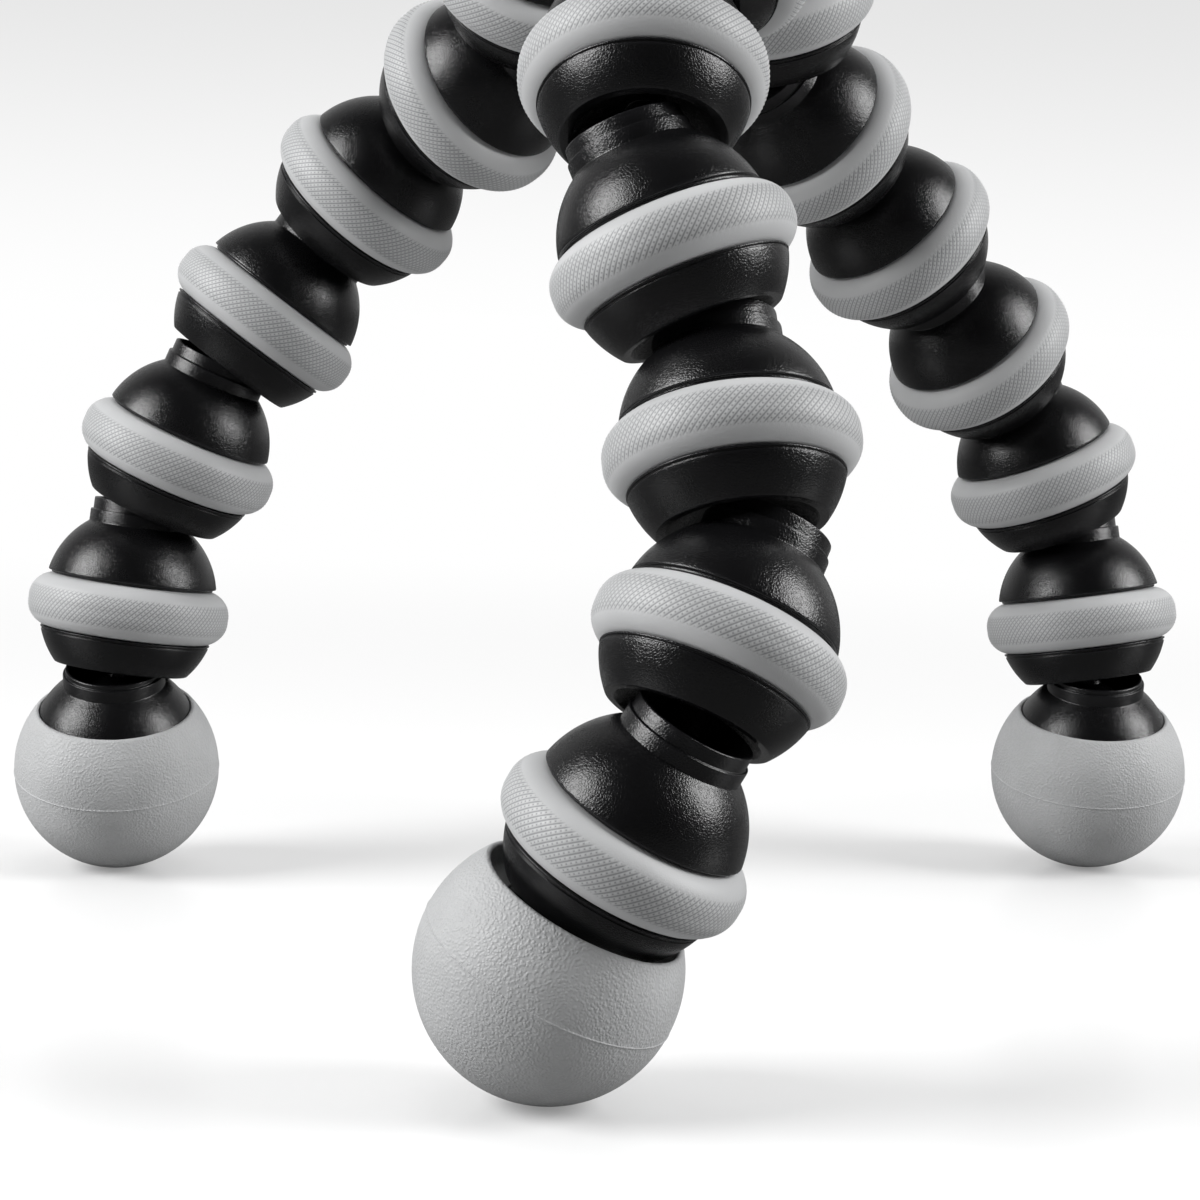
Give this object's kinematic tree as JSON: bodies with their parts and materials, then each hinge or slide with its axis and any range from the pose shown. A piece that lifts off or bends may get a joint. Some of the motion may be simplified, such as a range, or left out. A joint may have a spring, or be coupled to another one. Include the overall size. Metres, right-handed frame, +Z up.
{
  "type": "flexible leg tripod",
  "caption": "Table tripod whose flexible legs are chains of ball-jointed links with rubber grip rings, standing on rubber ball feet, with a small ball head and camera screw.",
  "frame": {"origin": "on the floor, straight under the hub's axis", "axes": "+Z up along the camera screw, the front leg towards -Y, the other legs towards +Y on the left and right"},
  "size_m": [0.1712, 0.1661, 0.2212],
  "materials": {
    "link_plastic": "satin black with a fine leather grain",
    "ring_rubber": "light grey rubber with a fine diamond pattern",
    "foot_rubber": "mid grey pebbled rubber",
    "head_plastic": "satin black",
    "ball_metal": "black anodised",
    "steel": "plain turned steel"
  },
  "bodies": {
    "hub": {"hub_body": "link_plastic", "hub_cap": "head_plastic", "hub_screws": "steel", "head_socket": "head_plastic"},
    "collar": {"lock_collar": "head_plastic", "collar_grip": "ring_rubber"},
    "head": {"head_ball": "ball_metal", "camera_stud": "steel"},
    "platform": {"platform_wheel": "head_plastic", "platform_grip": "ring_rubber", "platform_pad": "foot_rubber"},
    "front_segment_1": {"front_link_1": "link_plastic", "front_ring_1": "ring_rubber"},
    "front_segment_2": {"front_link_2": "link_plastic", "front_ring_2": "ring_rubber"},
    "front_segment_3": {"front_link_3": "link_plastic", "front_ring_3": "ring_rubber"},
    "front_segment_4": {"front_link_4": "link_plastic", "front_ring_4": "ring_rubber"},
    "front_segment_5": {"front_link_5": "link_plastic", "front_ring_5": "ring_rubber"},
    "front_segment_6": {"front_link_6": "link_plastic", "front_ring_6": "ring_rubber"},
    "front_segment_7": {"front_link_7": "link_plastic", "front_ring_7": "ring_rubber"},
    "front_foot": {"front_foot_core": "link_plastic", "front_foot": "foot_rubber"},
    "left_segment_1": {"left_link_1": "link_plastic", "left_ring_1": "ring_rubber"},
    "left_segment_2": {"left_link_2": "link_plastic", "left_ring_2": "ring_rubber"},
    "left_segment_3": {"left_link_3": "link_plastic", "left_ring_3": "ring_rubber"},
    "left_segment_4": {"left_link_4": "link_plastic", "left_ring_4": "ring_rubber"},
    "left_segment_5": {"left_link_5": "link_plastic", "left_ring_5": "ring_rubber"},
    "left_segment_6": {"left_link_6": "link_plastic", "left_ring_6": "ring_rubber"},
    "left_segment_7": {"left_link_7": "link_plastic", "left_ring_7": "ring_rubber"},
    "left_foot": {"left_foot_core": "link_plastic", "left_foot": "foot_rubber"},
    "right_segment_1": {"right_link_1": "link_plastic", "right_ring_1": "ring_rubber"},
    "right_segment_2": {"right_link_2": "link_plastic", "right_ring_2": "ring_rubber"},
    "right_segment_3": {"right_link_3": "link_plastic", "right_ring_3": "ring_rubber"},
    "right_segment_4": {"right_link_4": "link_plastic", "right_ring_4": "ring_rubber"},
    "right_segment_5": {"right_link_5": "link_plastic", "right_ring_5": "ring_rubber"},
    "right_segment_6": {"right_link_6": "link_plastic", "right_ring_6": "ring_rubber"},
    "right_segment_7": {"right_link_7": "link_plastic", "right_ring_7": "ring_rubber"},
    "right_foot": {"right_foot_core": "link_plastic", "right_foot": "foot_rubber"}
  },
  "joints": [
    {"name": "front_ball_1", "type": "hinge", "parent": "hub", "child": "front_segment_1", "pos_m": [0.00616, -0.01691, 0.15331], "axis": [0.5351, 0.7823, -0.3188], "range_deg": [-50, 11]},
    {"name": "front_ball_2", "type": "hinge", "parent": "front_segment_1", "child": "front_segment_2", "pos_m": [0.00335, -0.02386, 0.13157], "axis": [0.697, -0.7042, 0.1349], "range_deg": [-1, 60]},
    {"name": "front_ball_3", "type": "hinge", "parent": "front_segment_2", "child": "front_segment_3", "pos_m": [-0.007, -0.03711, 0.11588], "axis": [-0.184, 0.8073, -0.5607], "range_deg": [-2, 59]},
    {"name": "front_ball_4", "type": "hinge", "parent": "front_segment_3", "child": "front_segment_4", "pos_m": [-0.00632, -0.05012, 0.09692], "axis": [-0.653, 0.6133, -0.4444], "range_deg": [-1, 60]},
    {"name": "front_ball_5", "type": "hinge", "parent": "front_segment_4", "child": "front_segment_5", "pos_m": [0.00272, -0.05534, 0.07643], "axis": [0.5348, -0.7319, 0.4224], "range_deg": [-12, 49]},
    {"name": "front_ball_6", "type": "hinge", "parent": "front_segment_5", "child": "front_segment_6", "pos_m": [0.006, -0.06488, 0.05576], "axis": [0.0706, 0.91, -0.4085], "range_deg": [-60, 1]},
    {"name": "front_ball_7", "type": "hinge", "parent": "front_segment_6", "child": "front_segment_7", "pos_m": [-0.00225, -0.07313, 0.03594], "axis": [0.877, 0.1862, -0.4429], "range_deg": [-59, 2]},
    {"name": "front_foot_ball", "type": "hinge", "parent": "front_segment_7", "child": "front_foot", "pos_m": [-0.01302, -0.07024, 0.01583], "axis": [0.8338, -0.316, -0.4527], "range_deg": [-4, 2]},
    {"name": "left_ball_1", "type": "hinge", "parent": "hub", "child": "left_segment_1", "pos_m": [-0.01773, 0.00313, 0.15331], "axis": [-0.2675, 0.9317, 0.2455], "range_deg": [-2, 59]},
    {"name": "left_ball_2", "type": "hinge", "parent": "left_segment_1", "child": "left_segment_2", "pos_m": [-0.01842, 0.0088, 0.13103], "axis": [-0.9242, -0.3759, -0.0668], "range_deg": [-2, 47]},
    {"name": "left_ball_3", "type": "hinge", "parent": "left_segment_2", "child": "left_segment_3", "pos_m": [-0.02326, 0.02368, 0.11418], "axis": [-0.2193, -0.7616, -0.6098], "range_deg": [-1, 60]},
    {"name": "left_ball_4", "type": "hinge", "parent": "left_segment_3", "child": "left_segment_4", "pos_m": [-0.03812, 0.03706, 0.10281], "axis": [0.755, 0.3919, -0.5257], "range_deg": [-5, 56]},
    {"name": "left_ball_5", "type": "hinge", "parent": "left_segment_4", "child": "left_segment_5", "pos_m": [-0.05264, 0.04206, 0.08569], "axis": [-0.7719, -0.2696, 0.5757], "range_deg": [-47, 14]},
    {"name": "left_ball_6", "type": "hinge", "parent": "left_segment_5", "child": "left_segment_6", "pos_m": [-0.06604, 0.04065, 0.06706], "axis": [-0.2878, 0.9481, 0.1354], "range_deg": [-17, 44]},
    {"name": "left_ball_7", "type": "hinge", "parent": "left_segment_6", "child": "left_segment_7", "pos_m": [-0.07498, 0.04096, 0.04587], "axis": [0.2616, 0.9604, -0.0962], "range_deg": [-13, 48]},
    {"name": "left_foot_ball", "type": "hinge", "parent": "left_segment_7", "child": "left_foot", "pos_m": [-0.07746, 0.03935, 0.02306], "axis": [-0.9529, 0.2916, 0.083], "range_deg": [-1, 42]},
    {"name": "right_ball_1", "type": "hinge", "parent": "hub", "child": "right_segment_1", "pos_m": [0.01157, 0.01379, 0.15331], "axis": [-0.3848, 0.8884, 0.2501], "range_deg": [-59, 2]},
    {"name": "right_ball_2", "type": "hinge", "parent": "right_segment_1", "child": "right_segment_2", "pos_m": [0.0084, 0.01868, 0.13106], "axis": [0.6143, -0.7477, -0.252], "range_deg": [-18, 5]},
    {"name": "right_ball_3", "type": "hinge", "parent": "right_segment_2", "child": "right_segment_3", "pos_m": [0.0131, 0.02924, 0.11118], "axis": [-0.5864, 0.7646, 0.2675], "range_deg": [-1, 60]},
    {"name": "right_ball_4", "type": "hinge", "parent": "right_segment_3", "child": "right_segment_4", "pos_m": [0.02596, 0.04352, 0.09855], "axis": [0.801, -0.2338, 0.551], "range_deg": [-17, 44]},
    {"name": "right_ball_5", "type": "hinge", "parent": "right_segment_4", "child": "right_segment_5", "pos_m": [0.03961, 0.05344, 0.08291], "axis": [0.6556, -0.7542, 0.0357], "range_deg": [-29, 32]},
    {"name": "right_ball_6", "type": "hinge", "parent": "right_segment_5", "child": "right_segment_6", "pos_m": [0.0524, 0.0638, 0.06685], "axis": [0.7912, -0.5442, 0.279], "range_deg": [-5, 56]},
    {"name": "right_ball_7", "type": "hinge", "parent": "right_segment_6", "child": "right_segment_7", "pos_m": [0.06136, 0.06603, 0.04578], "axis": [-0.606, 0.7759, -0.1756], "range_deg": [-49, 12]},
    {"name": "right_foot_ball", "type": "hinge", "parent": "right_segment_7", "child": "right_foot", "pos_m": [0.06493, 0.06371, 0.02318], "axis": [0.8963, 0.4326, 0.0973], "range_deg": [-42, 1]},
    {"name": "collar_turn", "type": "hinge", "parent": "hub", "child": "collar", "pos_m": [0, 0, 0.18791], "axis": [0, 0, 1], "range_deg": [-60, 60]},
    {"name": "head_tilt", "type": "hinge", "parent": "hub", "child": "head", "pos_m": [0, 0, 0.19291], "axis": [1, 0, 0], "range_deg": [-35, 35]},
    {"name": "platform_turn", "type": "hinge", "parent": "head", "child": "platform", "pos_m": [0, 0, 0.21566], "axis": [0, 0, 1], "continuous": true}
  ]
}
